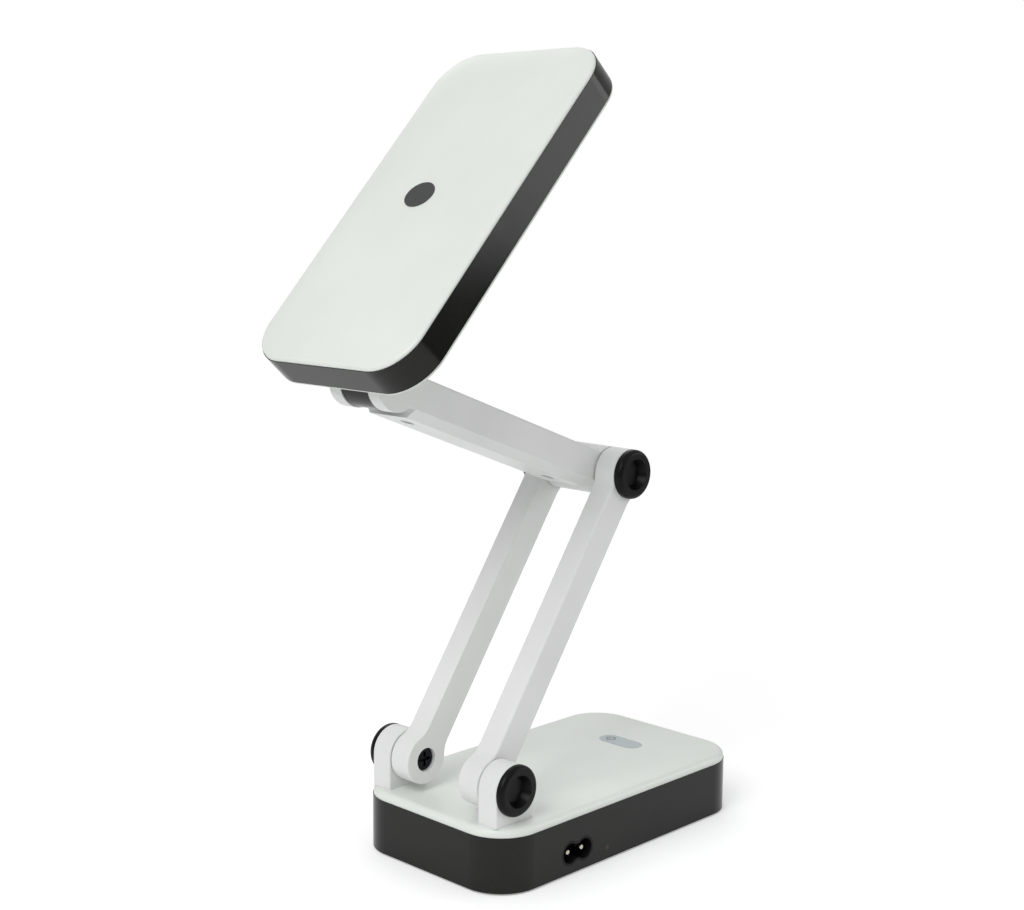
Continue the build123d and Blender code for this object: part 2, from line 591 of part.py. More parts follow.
def charger_components():
    """The capacitors, transformer, rectifiers and indicator chip on the charger board."""
    x0, x1, y0, y1 = charger_bounds()
    low = FLOOR_TOP + STANDOFF + BOARD_THICKNESS
    middle = (y0 + y1) / 2
    pieces = [block_on(x0 + TRANSFORMER_FROM_END + TRANSFORMER_LENGTH / 2, middle, low,
                       TRANSFORMER_LENGTH, TRANSFORMER_WIDTH, TRANSFORMER_HEIGHT)]
    pieces.append(rod_z(LARGE_CAPACITOR_RADIUS, low, low + LARGE_CAPACITOR_HEIGHT,
                        x0 + LARGE_CAPACITOR_FROM_END, middle))
    pieces.append(rod_z(SMALL_CAPACITOR_RADIUS, low, low + SMALL_CAPACITOR_HEIGHT,
                        x0 + SMALL_CAPACITOR_FROM_END, middle + SMALL_CAPACITOR_OFFSET))
    for n in range(RECTIFIERS):
        x = x0 + RECTIFIER_FROM_END + RECTIFIER_LENGTH / 2 + n * RECTIFIER_PITCH
        pieces.append(block_on(x, middle + RECTIFIER_OFFSET, low, RECTIFIER_LENGTH, RECTIFIER_WIDTH,
                               RECTIFIER_HEIGHT))
    pieces.append(block_on(INDICATOR_X, y0 + LIGHT_INSET + LIGHT_WIDTH / 2, low, LIGHT_LENGTH, LIGHT_WIDTH,
                           LIGHT_HEIGHT))
    return pieces


def indicator_lens():
    """A light pipe from the charger board to the band."""
    board_edge = charger_bounds()[2]
    return rod_y(INDICATOR_RADIUS, -HALF_WIDTH, board_edge - LENS_GAP, INDICATOR_X, INDICATOR_HEIGHT)


def battery_bounds():
    x0 = BATTERY_FROM_END - HALF_LENGTH
    y1 = HALF_WIDTH - BATTERY_SIDE_GAP
    return x0, x0 + BATTERY_LENGTH, y1 - BATTERY_WIDTH, y1


def battery_pack():
    """Sealed battery with two terminals on its charger side."""
    x0, x1, y0, y1 = battery_bounds()
    top = FLOOR_TOP + BATTERY_HEIGHT
    case = block(x0, x1, y0, y1, FLOOR_TOP, top)
    case = fillet(case.edges().filter_by(Axis.Z), BATTERY_CORNER)
    for n in (1, 2):
        case += block_on(x0 + n * TERMINAL_PITCH, y0 + TERMINAL_INSET, top, TERMINAL_SIZE, TERMINAL_SIZE,
                         TERMINAL_HEIGHT)
    return case


def make_base():
    to_hinge = Pos(PIVOT_X, 0, BASE_HINGE_HEIGHT)
    save("base_side_band", base_side_band())
    save("base_bottom_cover", base_bottom_cover())
    save("base_top_cover", base_top_cover())
    save("rest_pad", pad_slab(0, PAD_THICKNESS))
    save("base_screws", group(base_screws()))
    save_pair("hinge_tower", hinge_tower())
    save("tower_screws", group(tower_screws()))
    save_pair("base_hinge_cap", hinge_cap(TOWER_OUTER, BASE_CAP_HEIGHT), to_hinge)
    save("base_hinge_pins", both_sides(base_hinge_pin()), to_hinge)
    save("base_hinge_screws", both_sides(base_hinge_screw()), to_hinge)
    save("base_hinge_washers", both_sides(base_hinge_washer()), to_hinge)
    save("base_friction_washers", both_sides(base_friction_washer()), to_hinge)
    save("touch_key", touch_key_solid(BASE_TOP - TOUCH_KEY_SUNK, BASE_TOP + TOUCH_KEY_PROUD))
    save("touch_sensor_board", sensor_board())
    save("touch_sensor_plate", sensor_plate())
    save("sensor_board_screws", group(sensor_screws()))
    save("mains_inlet_socket", mains_inlet_socket())
    save("mains_inlet_pins", group(inlet_pins()))
    save("charger_board", charger_board())
    save("charger_components", group(charger_components()))
    save("charge_indicator_lens", indicator_lens())
    save("battery_pack", battery_pack())


# ---------------------------------------------------------------- lower legs

def leg_outline():
    """A straight bar that widens into a round knuckle at each end."""
    bar = Pos(LEG_LENGTH / 2, 0) * Rectangle(LEG_LENGTH, LEG_DEPTH)
    outline = bar + Circle(KNUCKLE_RADIUS) + Pos(LEG_LENGTH, 0) * Circle(KNUCKLE_RADIUS)
    corners = [v for v in outline.vertices() if abs(v.Y) > TOLERANCE]
    return fillet(corners, LEG_FILLET)


def leg_pocket(start, end):
    """The hollow of the leg, between its knuckles."""
    length = LEG_LENGTH - 2 * LEG_POCKET_START
    height = LEG_DEPTH - 2 * LEG_WALL
    return from_side(Pos(LEG_LENGTH / 2, 0) * RectangleRounded(length, height, height / 3), start, end)


def leg_shell():
    """One leg: an open-sided box section between two knuckles, with a well for the hinge screw."""
    shell = from_side(leg_outline(), LEG_INNER, LEG_OUTER)
    shell = fillet(shell.faces().sort_by(Axis.Y)[-1].edges(), LEG_EDGE)
    shell = fillet(shell.faces().sort_by(Axis.Y)[0].edges(), LEG_EDGE / 2)
    shell -= leg_pocket(LEG_INNER, LEG_OUTER - LEG_WALL)
    shell -= rod_y(BASE_PIN_RADIUS + RUNNING, LEG_INNER, LEG_OUTER)
    shell -= rod_y(HINGE_HEAD_RADIUS + SCREW_WELL_GAP, LEG_INNER, WELL_FLOOR)
    shell -= rod_y(ELBOW_SHAFT_RADIUS, LEG_INNER, LEG_OUTER, LEG_LENGTH)
    return shell - rod_y(CAP_SPIGOT_RADIUS, LEG_OUTER - CAP_SPIGOT_DEPTH, LEG_OUTER, LEG_LENGTH)


def leg_cover():
    """The strip that closes the leg's hollow on its inner side."""
    return leg_pocket(LEG_INNER, LEG_INNER + LEG_COVER_THICKNESS)


def elbow_shaft():
    """One shaft through both legs and the arm, held by the legs."""
    reach = LEG_OUTER - CAP_SPIGOT_DEPTH
    return rod_y(ELBOW_SHAFT_RADIUS, -reach, reach)


def elbow_washer():
    return washer_y(FRICTION_WASHER_RADIUS, ELBOW_SHAFT_RADIUS, ARM_HALF + WASHER_GAP)


def wire_pair(start, end, y):
    """Two insulated wires side by side along X, in a hollow."""
    wire = Pos((start + end) / 2, y, 0) * Rot(0, 90, 0) * Cylinder(WIRE_RADIUS, end - start)
    return [Pos(0, 0, -WIRE_RADIUS) * wire, Pos(0, 0, WIRE_RADIUS) * wire]


def make_lower_legs():
    save_pair("leg_shell", leg_shell(), LEG_PLACE)
    save_pair("leg_cover", leg_cover(), LEG_PLACE)
    save("elbow_shaft", elbow_shaft(), ELBOW_PLACE)
    save_pair("elbow_cap", hinge_cap(LEG_OUTER, ELBOW_CAP_HEIGHT), ELBOW_PLACE)
    save("elbow_washers", both_sides(elbow_washer()), ELBOW_PLACE)
    middle = (LEG_INNER + LEG_COVER_THICKNESS + LEG_OUTER - LEG_WALL) / 2
    start = LEG_POCKET_START + WIRE_END_GAP
    save("leg_wires", group(wire_pair(start, LEG_LENGTH - start, middle)), LEG_PLACE)


# ---------------------------------------------------------------- upper arm

def arm_screw_points():
    return [(ARM_SCREW_INSET - ARM_LENGTH, 0), (-ARM_SCREW_INSET, 0)]


def arm_upper_shell():
    """Top and side walls of the arm, with the elbow barrel and the fork for the head's knuckle."""
    bar = block(-ARM_LENGTH, 0, -ARM_HALF, ARM_HALF, -ARM_SEAM, ARM_TOP)
    bar = fillet(bar.faces().sort_by(Axis.Z)[-1].edges().filter_by(Axis.X), ARM_EDGE)
    wall = ARM_HALF - ARM_WALL
    ceiling = ARM_TOP - ARM_WALL
    bar -= block(ARM_HOLLOW_START - ARM_LENGTH, -ARM_HOLLOW_START, -wall, wall, -ARM_SEAM, ceiling)
    for x, y in arm_screw_points():
        bar += rod_z(BOSS_RADIUS, -ARM_SEAM, ceiling, x, y)
    for x, pin_radius in ((0, ELBOW_SHAFT_RADIUS), (-ARM_LENGTH, HEAD_PIN_RADIUS)):
        bar += rod_y(KNUCKLE_RADIUS, -ARM_HALF, ARM_HALF, x)
        bar -= rod_y(pin_radius + RUNNING, -ARM_HALF, ARM_HALF, x)
    reach = KNUCKLE_RADIUS + FORK_SLOT_CLEARANCE
    bar -= block(-ARM_LENGTH - reach, -ARM_LENGTH + reach, -FORK_SLOT_HALF, FORK_SLOT_HALF, -reach, reach)
    for x, y in arm_screw_points():
        bar -= rod_z(SCREW_RADIUS, -ARM_SEAM, -ARM_SEAM + ARM_SCREW_BITE + PILOT_GAP, x, y)
    return bar


def arm_lower_cover():
    """The bevelled underside between the two barrels."""
    bevel = ARM_BOTTOM - ARM_SEAM
    flat = ARM_HALF - bevel
    outline = Polyline((-ARM_HALF, 0), (-flat, -bevel), (flat, -bevel), (ARM_HALF, 0), close=True)
    end = ARM_HOLLOW_START - ARM_COVER_LAP
    plane = Plane(origin=(end - ARM_LENGTH, 0, -ARM_SEAM), x_dir=(0, 1, 0), z_dir=(1, 0, 0))
    cover = extrude(plane * make_face(outline), amount=ARM_LENGTH - 2 * end)
    hollow = flat - ARM_COVER_WALL
    cover -= block(ARM_HOLLOW_START - ARM_LENGTH, -ARM_HOLLOW_START, -hollow, hollow,
                   -ARM_BOTTOM + ARM_WALL, -ARM_SEAM)
    for x, y in arm_screw_points():
        cover += rod_z(BOSS_RADIUS, -ARM_BOTTOM, -ARM_SEAM, x, y)
        cover -= rod_z(SCREW_HEAD_RADIUS + RECESS_CLEARANCE, -ARM_BOTTOM, SCREW_HEAD_HEIGHT - ARM_BOTTOM,
                       x, y)
        cover -= rod_z(SCREW_RADIUS, -ARM_BOTTOM, -ARM_SEAM, x, y)
    for x in (0, -ARM_LENGTH):
        cover -= rod_y(KNUCKLE_RADIUS, -ARM_HALF, ARM_HALF, x)
    return cover


def arm_screws():
    """Close the arm from below, in counterbores of the lower cover."""
    seat = -ARM_BOTTOM + SCREW_HEAD_HEIGHT
    return screws_at(arm_screw_points(), seat, HEAD_DOWN, SCREW_HEAD_RADIUS,
                     SCREW_HEAD_HEIGHT - ARM_SCREW_SUNK, SCREW_RADIUS, -ARM_SEAM + ARM_SCREW_BITE - seat)


def make_upper_arm():
    save("arm_upper_shell", arm_upper_shell(), ARM_PLACE)
    save("arm_lower_cover", arm_lower_cover(), ARM_PLACE)
    save("arm_screws", group(arm_screws()), ARM_PLACE)
    start = ARM_HOLLOW_START + WIRE_END_GAP
    save("arm_wires", group(wire_pair(start - ARM_LENGTH, -start, BOSS_RADIUS + WIRE_CLEARANCE)), ARM_PLACE)


# ---------------------------------------------------------------- head

def head_slab(inset, bottom, top):
    """A plate of the head's outline, drawn in by an inset."""
    return slab(HEAD_LENGTH - 2 * inset, HEAD_WIDTH - 2 * inset, HEAD_CORNER - inset,
                bottom, top, HEAD_MIDDLE)


def head_lip(bottom):
    """A ring that stands inside the head's band."""
    return ring(HEAD_LENGTH - 2 * HEAD_INSET, HEAD_WIDTH - 2 * HEAD_INSET, HEAD_CORNER - HEAD_INSET, LIP_WALL,
                bottom, bottom + LIP_HEIGHT, HEAD_MIDDLE)


def crowned_plate():
    """The outside of the head's back: an upright rim, then a shallow slope that bends into the flat."""
    shoulder = HEAD_BAND_TOP + HEAD_COVER_RIM
    rim = head_slab(SEAM, HEAD_BAND_TOP, shoulder)
    outline = RectangleRounded(HEAD_LENGTH - 2 * SEAM, HEAD_WIDTH - 2 * SEAM, HEAD_CORNER - SEAM)
    slope = degrees(atan(HEAD_CROWN_RUN / HEAD_CROWN_RISE))
    plate = rim + extrude(Pos(HEAD_MIDDLE, 0, shoulder) * outline, amount=HEAD_CROWN_RISE, taper=slope)
    plate = fillet(plate.faces().sort_by(Axis.Z)[-1].edges(), HEAD_CROWN_RADIUS)
    edges = [e for e in plate.edges() if abs(e.center().Z - shoulder) < TOLERANCE]
    return fillet(edges, HEAD_COVER_EDGE)


def head_back_cover():
    """The crowned white back, with a lip inside the band and a boss for each screw."""
    inner = HEAD_INSET + LIP_WALL
    ceiling = HEAD_TOP - HEAD_COVER_THICKNESS
    cover = crowned_plate() - head_slab(inner, HEAD_BAND_TOP, ceiling)
    cover += head_lip(HEAD_BAND_TOP - LIP_HEIGHT)
    for x, y in corner_points(HEAD_LENGTH, HEAD_WIDTH, HEAD_SCREW_INSET, HEAD_MIDDLE):
        cover += rod_z(BOSS_RADIUS, HEAD_BAND_BOTTOM, ceiling, x, y)
        cover -= rod_z(SCREW_RADIUS, HEAD_BAND_BOTTOM, HEAD_BAND_BOTTOM + SCREW_BITE + PILOT_GAP, x, y)
    return cover - badge_solid(HEAD_TOP + OVERCUT)


def badge_solid(top):
    """A plain oval badge let into the head's back."""
    bottom = HEAD_TOP - BADGE_SUNK
    oval = Pos(BADGE_FROM_END - HEAD_HINGE_OFFSET, BADGE_SIDE_OFFSET, bottom) * Ellipse(BADGE_LENGTH / 2,
                                                                                     BADGE_WIDTH / 2)
    return extrude(oval, amount=top - bottom)


def head_side_band():
    """The black band round the head."""
    return ring(HEAD_LENGTH, HEAD_WIDTH, HEAD_CORNER, HEAD_BAND_WALL,
                HEAD_BAND_BOTTOM, HEAD_BAND_TOP, HEAD_MIDDLE)


def knuckle_foot():
    """The part of the head's knuckle that passes through the bezel."""
    return block(-HEAD_NECK_REACH, HEAD_NECK_REACH, -HEAD_KNUCKLE_HALF, HEAD_KNUCKLE_HALF,
                 HEAD_UNDERSIDE, HEAD_BAND_BOTTOM)


def head_bezel():
    """The thin white frame round the light window, with a lip inside the band."""
    bezel = head_slab(SEAM, HEAD_UNDERSIDE, HEAD_BAND_BOTTOM) + head_lip(HEAD_BAND_BOTTOM)
    bezel -= slab(WINDOW_LENGTH, WINDOW_WIDTH, WINDOW_CORNER, HEAD_UNDERSIDE, HEAD_BAND_BOTTOM, WINDOW_MIDDLE)
    for x, y in corner_points(HEAD_LENGTH, HEAD_WIDTH, HEAD_SCREW_INSET, HEAD_MIDDLE):
        bezel -= rod_z(SCREW_RADIUS, HEAD_UNDERSIDE, HEAD_BAND_BOTTOM, x, y)
    for x, y in knuckle_screw_points():
        bezel -= rod_z(SCREW_RADIUS, HEAD_BAND_BOTTOM - KNUCKLE_SCREW_BITE, HEAD_BAND_BOTTOM, x, y)
    return bezel - knuckle_foot()


def head_screws():
    """Low-head screws that close the head from its underside."""
    points = corner_points(HEAD_LENGTH, HEAD_WIDTH, HEAD_SCREW_INSET, HEAD_MIDDLE)
    return screws_at(points, HEAD_UNDERSIDE, HEAD_DOWN, SCREW_HEAD_RADIUS, SHALLOW_HEAD_HEIGHT, SCREW_RADIUS,
                     BEZEL_THICKNESS + SCREW_BITE)


def head_knuckle():
    """The black barrel under the head, with a foot through the bezel and a flange inside."""
    half = HEAD_KNUCKLE_HALF
    side = half + KNUCKLE_FLANGE_REACH
    knuckle = rod_y(HEAD_KNUCKLE_RADIUS, -half, half) + knuckle_foot()
    knuckle += block(-HEAD_NECK_REACH, HEAD_NECK_REACH, -half, half, 0, HEAD_UNDERSIDE)
    knuckle += block(-KNUCKLE_FLANGE_HALF, KNUCKLE_FLANGE_HALF, -side, side,
                     HEAD_BAND_BOTTOM, KNUCKLE_FLANGE_TOP)
    knuckle -= rod_y(HEAD_PIN_RADIUS, -half, half)
    for x, y in knuckle_screw_points():
        knuckle -= rod_z(SCREW_RADIUS, HEAD_BAND_BOTTOM, KNUCKLE_FLANGE_TOP, x, y)
    return knuckle


def knuckle_screw_points():
    reach = HEAD_KNUCKLE_HALF + KNUCKLE_SCREW_REACH
    return [(0, -reach), (0, reach)]


def knuckle_screws():
    """Hold the knuckle's flange down on the bezel."""
    return screws_at(knuckle_screw_points(), KNUCKLE_FLANGE_TOP, HEAD_UP, SCREW_HEAD_RADIUS,
                     SCREW_HEAD_HEIGHT, SCREW_RADIUS, KNUCKLE_FLANGE_THICKNESS + KNUCKLE_SCREW_BITE)


def head_hinge_pin():
    """Fixed in the head's knuckle; its ends turn in the arm's fork."""
    reach = ARM_HALF - HEAD_PIN_RECESS
    pin = rod_y(HEAD_PIN_RADIUS, -reach, reach)
    return chamfer(pin.faces().filter_by(Axis.Y).edges(), PIN_CHAMFER)


def diffuser():
    """The frosted sheet in the light window."""
    return slab(WINDOW_LENGTH + 2 * DIFFUSER_LAP, WINDOW_WIDTH + 2 * DIFFUSER_LAP,
                WINDOW_CORNER + DIFFUSER_LAP, HEAD_BAND_BOTTOM, DIFFUSER_TOP, WINDOW_MIDDLE)


def reflector_tray():
    """A white tray behind the light window, with a hole for each light."""
    tray = slab(WINDOW_LENGTH, WINDOW_WIDTH, WINDOW_CORNER, DIFFUSER_TOP, REFLECTOR_TOP, WINDOW_MIDDLE)
    tray -= slab(WINDOW_LENGTH - 2 * REFLECTOR_WALL, WINDOW_WIDTH - 2 * REFLECTOR_WALL,
                 WINDOW_CORNER - REFLECTOR_WALL, DIFFUSER_TOP, REFLECTOR_TOP - REFLECTOR_WALL, WINDOW_MIDDLE)
    hole = LED_SIZE + 2 * LED_GAP
    for x, y in led_points():
        tray -= block_on(x, y, REFLECTOR_TOP - REFLECTOR_WALL, hole, hole, REFLECTOR_WALL)
    return tray


def led_points():
    """Rows of lights along the head."""
    pitch_x = WINDOW_LENGTH / LED_COLUMNS
    pitch_y = WINDOW_WIDTH / LED_ROWS
    return [(WINDOW_MIDDLE + (i - (LED_COLUMNS - 1) / 2) * pitch_x, (j - (LED_ROWS - 1) / 2) * pitch_y)
            for i in range(LED_COLUMNS) for j in range(LED_ROWS)]


def led_board():
    """The board that carries the lights, on the back of the tray."""
    return block_on(WINDOW_MIDDLE, 0, REFLECTOR_TOP, WINDOW_LENGTH - 2 * LED_BOARD_END_GAP,
                    WINDOW_WIDTH - 2 * LED_BOARD_SIDE_GAP, LED_BOARD_THICKNESS)


def led_chips():
    low = REFLECTOR_TOP - LED_HEIGHT
    return [block_on(x, y, low, LED_SIZE, LED_SIZE, LED_HEIGHT) for x, y in led_points()]


def make_head():
    save("head_back_cover", head_back_cover(), HEAD_PLACE)
    save("head_side_band", head_side_band(), HEAD_PLACE)
    save("head_bezel", head_bezel(), HEAD_PLACE)
    save("head_screws", group(head_screws()), HEAD_PLACE)
    save("head_badge", badge_solid(HEAD_TOP + BADGE_HEIGHT), HEAD_PLACE)
    save("head_hinge_knuckle", head_knuckle(), HEAD_PLACE)
    save("head_hinge_pin", head_hinge_pin(), HEAD_PLACE)
    save("knuckle_screws", group(knuckle_screws()), HEAD_PLACE)
    save("light_diffuser", diffuser(), HEAD_PLACE)
    save("reflector_tray", reflector_tray(), HEAD_PLACE)
    save("led_board", led_board(), HEAD_PLACE)
    save("led_chips", group(led_chips()), HEAD_PLACE)


os.makedirs("parts", exist_ok=True)
make_base()
make_lower_legs()
make_upper_arm()
make_head()
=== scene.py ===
import json
import math

import bpy
from mathutils import Matrix, Vector


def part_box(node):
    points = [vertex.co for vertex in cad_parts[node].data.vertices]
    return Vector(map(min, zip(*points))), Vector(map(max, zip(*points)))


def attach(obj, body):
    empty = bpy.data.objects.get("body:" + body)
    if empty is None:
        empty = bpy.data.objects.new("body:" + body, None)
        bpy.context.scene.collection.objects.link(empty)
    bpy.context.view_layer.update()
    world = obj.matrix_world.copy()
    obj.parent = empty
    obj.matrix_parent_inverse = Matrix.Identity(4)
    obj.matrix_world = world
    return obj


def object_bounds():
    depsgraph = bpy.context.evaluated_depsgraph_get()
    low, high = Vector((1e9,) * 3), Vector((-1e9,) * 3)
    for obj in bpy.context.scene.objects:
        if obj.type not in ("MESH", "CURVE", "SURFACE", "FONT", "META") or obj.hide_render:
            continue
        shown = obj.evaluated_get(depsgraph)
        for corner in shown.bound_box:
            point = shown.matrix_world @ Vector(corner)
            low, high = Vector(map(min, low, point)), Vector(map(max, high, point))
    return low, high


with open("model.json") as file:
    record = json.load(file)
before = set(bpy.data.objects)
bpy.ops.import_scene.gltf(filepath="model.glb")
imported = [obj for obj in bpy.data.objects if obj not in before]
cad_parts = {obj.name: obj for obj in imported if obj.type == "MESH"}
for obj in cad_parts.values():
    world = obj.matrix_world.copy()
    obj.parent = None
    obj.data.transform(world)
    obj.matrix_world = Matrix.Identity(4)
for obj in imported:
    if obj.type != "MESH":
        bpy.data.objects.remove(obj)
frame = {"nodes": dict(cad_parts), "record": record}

# Folding rechargeable LED desk lamp. Metres, in the frame of the CAD model: the origin is the middle of
# the base's underside, +X runs to the far end of the base, +Y is the lamp's left side and +Z is up.

MM = 0.001
CAD_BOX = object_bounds()
LAMP_MIDDLE = (Vector(CAD_BOX[0]) + Vector(CAD_BOX[1])) / 2
LAMP_HEIGHT = CAD_BOX[1][2]


# ---------------------------------------------------------------- materials

PATTERN_LOW = 0.3            # most of a noise pattern lies between these two values
PATTERN_HIGH = 0.7
DRIFT_SIZE = 45 * MM         # slow drift of colour, from the plastic's flow in its mould
SMUDGE_SIZE = 14 * MM        # the width of a fingertip
STREAK_DEPTH = 0.01 * MM


def colour(code):
    """An sRGB hex colour as the linear RGBA that a shader socket takes."""
    channels = [int(code[i:i + 2], 16) / 255 for i in (1, 3, 5)]
    linear = [c / 12.92 if c <= 0.04045 else ((c + 0.055) / 1.055) ** 2.4 for c in channels]
    return (*linear, 1.0)


def add(tree, kind, links=None, **settings):
    """Add one node: settings are its properties or the values of its inputs, links feed its inputs."""
    node = tree.nodes.new(kind)
    for name, value in settings.items():
        if hasattr(node, name):
            setattr(node, name, value)
        else:
            node.inputs[name.replace("_", " ")].default_value = value
    for name, socket in (links or {}).items():
        tree.links.new(socket, node.inputs[name])
    return node


def new_material(name, **surface):
    """A material with one Principled shader, whose even values are set on its own sockets."""
    material = bpy.data.materials.new(name)
    material.use_nodes = True
    tree = material.node_tree
    shader = tree.nodes["Principled BSDF"]
    for socket, value in surface.items():
        shader.inputs[socket.replace("_", " ")].default_value = value
    place = add(tree, "ShaderNodeTexCoord").outputs["Object"]
    return material, tree, shader, place


def two_tone(tree, source, light, dark, start=PATTERN_LOW, end=PATTERN_HIGH):
    """A colour that runs from light to dark while the pattern goes from start to end."""
    node = add(tree, "ShaderNodeValToRGB", {"Fac": source})
    first, last = node.color_ramp.elements
    first.position = start
    first.color = colour(light)
    last.position = end
    last.color = colour(dark)
    return node.outputs["Color"]


def spread(tree, source, low, high):
    """Stretch a 0 to 1 pattern to run from low to high."""
    node = add(tree, "ShaderNodeMapRange", {"Value": source}, clamp=True)
    node.inputs["To Min"].default_value = low
    node.inputs["To Max"].default_value = high
    return node.outputs["Result"]


def noise(tree, place, size, detail=3.0, roughness=0.5):
    """Cloudy noise whose blotches are about size metres across."""
    node = add(tree, "ShaderNodeTexNoise", {"Vector": place}, Scale=1 / size, Detail=detail,
               Roughness=roughness)
    return node.outputs["Fac"]


def bump(tree, shader, height, depth):
    """Relief of a real depth in metres."""
    node = add(tree, "ShaderNodeBump", {"Height": height}, Strength=1.0, Distance=depth)
    tree.links.new(node.outputs["Normal"], shader.inputs["Normal"])


def moulded_plastic(name, light, dark, gloss, smudged, grain, depth, **surface):
    """Moulded plastic: slow drift of colour, smudges that roughen the gloss, and a fine mould grain.

    gloss and smudged are the roughness of clean and handled spots, grain and depth the size of the relief.
    """
    material, tree, shader, place = new_material(name, **surface)
    drift = noise(tree, place, DRIFT_SIZE)
    tree.links.new(two_tone(tree, drift, light, dark), shader.inputs["Base Color"])
    smudge = noise(tree, place, SMUDGE_SIZE, detail=6.0, roughness=0.6)
    tree.links.new(spread(tree, smudge, gloss, smudged), shader.inputs["Roughness"])
    bump(tree, shader, noise(tree, place, grain, detail=2.0), depth)
    return material


def cover_abs():
    """Moulded ABS, white with a trace of green: the smooth satin covers of the base and the head."""
    return moulded_plastic("moulded cover ABS", light="#e2e7e1", dark="#dde2dc", gloss=0.26, smudged=0.4,
                           grain=0.45 * MM, depth=0.005 * MM, Specular_IOR_Level=0.45)


def arm_abs():
    """Moulded ABS, plain white: the same plastic in the towers, legs and arm, a little duller."""
    return moulded_plastic("moulded arm ABS", light="#e3e4e3", dark="#dcdddc", gloss=0.34, smudged=0.5,
                           grain=0.5 * MM, depth=0.008 * MM, Specular_IOR_Level=0.4)


def black_abs():
    """Moulded ABS, black and polished: near-mirror shine, softened by smudges."""
    return moulded_plastic("polished black ABS", light="#191816", dark="#121211", gloss=0.1, smudged=0.2,
                           grain=0.6 * MM, depth=0.004 * MM, Specular_IOR_Level=0.28)


def cap_plastic():
    """Moulded nylon, black: hinge caps, a little duller than the bands, with a faint sheen on the rim."""
    return moulded_plastic("moulded black nylon", light="#0a0a0a", dark="#060606", gloss=0.28, smudged=0.44,
                           grain=0.5 * MM, depth=0.01 * MM, Specular_IOR_Level=0.17)


def socket_nylon():
    """Glass-filled nylon, black: a dry matt face that reads darker than the polished band round it."""
    return moulded_plastic("matt black nylon", light="#0c0c0c", dark="#080808", gloss=0.5, smudged=0.65,
                           grain=0.4 * MM, depth=0.02 * MM, Specular_IOR_Level=0.25)


def pad_rubber():
    """Moulded rubber, matt: broken up by a coarse grain and dust."""
    return moulded_plastic("matt moulded rubber", light="#2b2b2b", dark="#202020", gloss=0.75, smudged=0.9,
                           grain=0.8 * MM, depth=0.05 * MM)


def battery_plastic():
    """Polypropylene battery case, mid grey and dull."""
    return moulded_plastic("grey polypropylene", light="#4a4d52", dark="#3f4246", gloss=0.45, smudged=0.6,
                           grain=0.6 * MM, depth=0.02 * MM)


def component_plastic():
    """Epoxy-moulded component bodies, near black and matt."""
    return moulded_plastic("moulded epoxy", light="#2a2a2c", dark="#1e1e20", gloss=0.5, smudged=0.7,
                           grain=0.4 * MM, depth=0.02 * MM)


def key_plastic():
    """Tinted acrylic key: pale blue-grey, smoother than the cover round it."""
    return moulded_plastic("tinted acrylic key", light="#b4bec2", dark="#a9b4b9", gloss=0.12, smudged=0.24,
                           grain=0.7 * MM, depth=0.003 * MM)


def badge_ink():
    """Pad-printed ink, dark grey: a slight sheen and uneven cover, on the badge and the key's symbol."""
    return moulded_plastic("pad-printed ink", light="#3a3d3c", dark="#303332", gloss=0.35, smudged=0.5,
                           grain=0.5 * MM, depth=0.01 * MM)


def wire_sheath():
    """Extruded PVC wire sheath, red and slightly waxy."""
    return moulded_plastic("extruded PVC", light="#8d1f1c", dark="#7a1917", gloss=0.35, smudged=0.5,
                           grain=0.8 * MM, depth=0.01 * MM)


def reflector_white():
    """Glossy white polystyrene tray, brighter than the case."""
    return moulded_plastic("glossy white polystyrene", light="#f4f5f4", dark="#eff1ef", gloss=0.15,
                           smudged=0.25, grain=0.8 * MM, depth=0.003 * MM)


def metal(name, light, dark, gloss, dull, grain, stretch):
    """Plated or rolled metal: streaks of uneven shine, drawn out along Y where stretch is under 1."""
    material, tree, shader, place = new_material(name, Metallic=1.0)
    drawn_out = add(tree, "ShaderNodeMapping", {"Vector": place}, Scale=(1, stretch, 1)).outputs["Vector"]
    streak = noise(tree, drawn_out, grain, detail=4.0, roughness=0.6)
    tree.links.new(two_tone(tree, streak, light, dark), shader.inputs["Base Color"])
    tree.links.new(spread(tree, streak, gloss, dull), shader.inputs["Roughness"])
    bump(tree, shader, streak, STREAK_DEPTH)
    return material


def zinc_steel():
    """Zinc-plated steel: cool grey with a faint turned grain."""
    return metal("zinc-plated steel", light="#b9bdc2", dark="#9a9fa6", gloss=0.28, dull=0.45,
                 grain=1.2 * MM, stretch=0.4)


def black_oxide():
    """Black-oxide steel: near black, with a thin oily shine on its edges."""
    return metal("black-oxide steel", light="#26272a", dark="#191a1c", gloss=0.3, dull=0.45,
                 grain=1.0 * MM, stretch=0.5)


def nickel():
    """Nickel-plated brass contacts: warm bright metal."""
    return metal("nickel-plated brass", light="#ddd6c8", dark="#c6beb0", gloss=0.16, dull=0.28,
                 grain=1.0 * MM, stretch=0.3)


def copper():
    """Bare copper foil, slightly tarnished, with no direction in its grain."""
    return metal("copper foil", light="#c88a63", dark="#a86b47", gloss=0.25, dull=0.45,
                 grain=1.5 * MM, stretch=1.0)


def circuit_board():
    """Glass-epoxy board under green solder mask, with the faint ridges of its copper tracks."""
    track_spacing = 9 * MM       # coarser than real tracks, so that they show
    material, tree, shader, place = new_material("solder-masked board", Roughness=0.35)
    tracks = add(tree, "ShaderNodeTexBrick", {"Vector": place}, Scale=1 / track_spacing).outputs["Fac"]
    green = two_tone(tree, tracks, "#1f6b3a", "#174f2b", start=0.2, end=0.8)
    tree.links.new(green, shader.inputs["Base Color"])
    bump(tree, shader, tracks, 0.03 * MM)
    return material


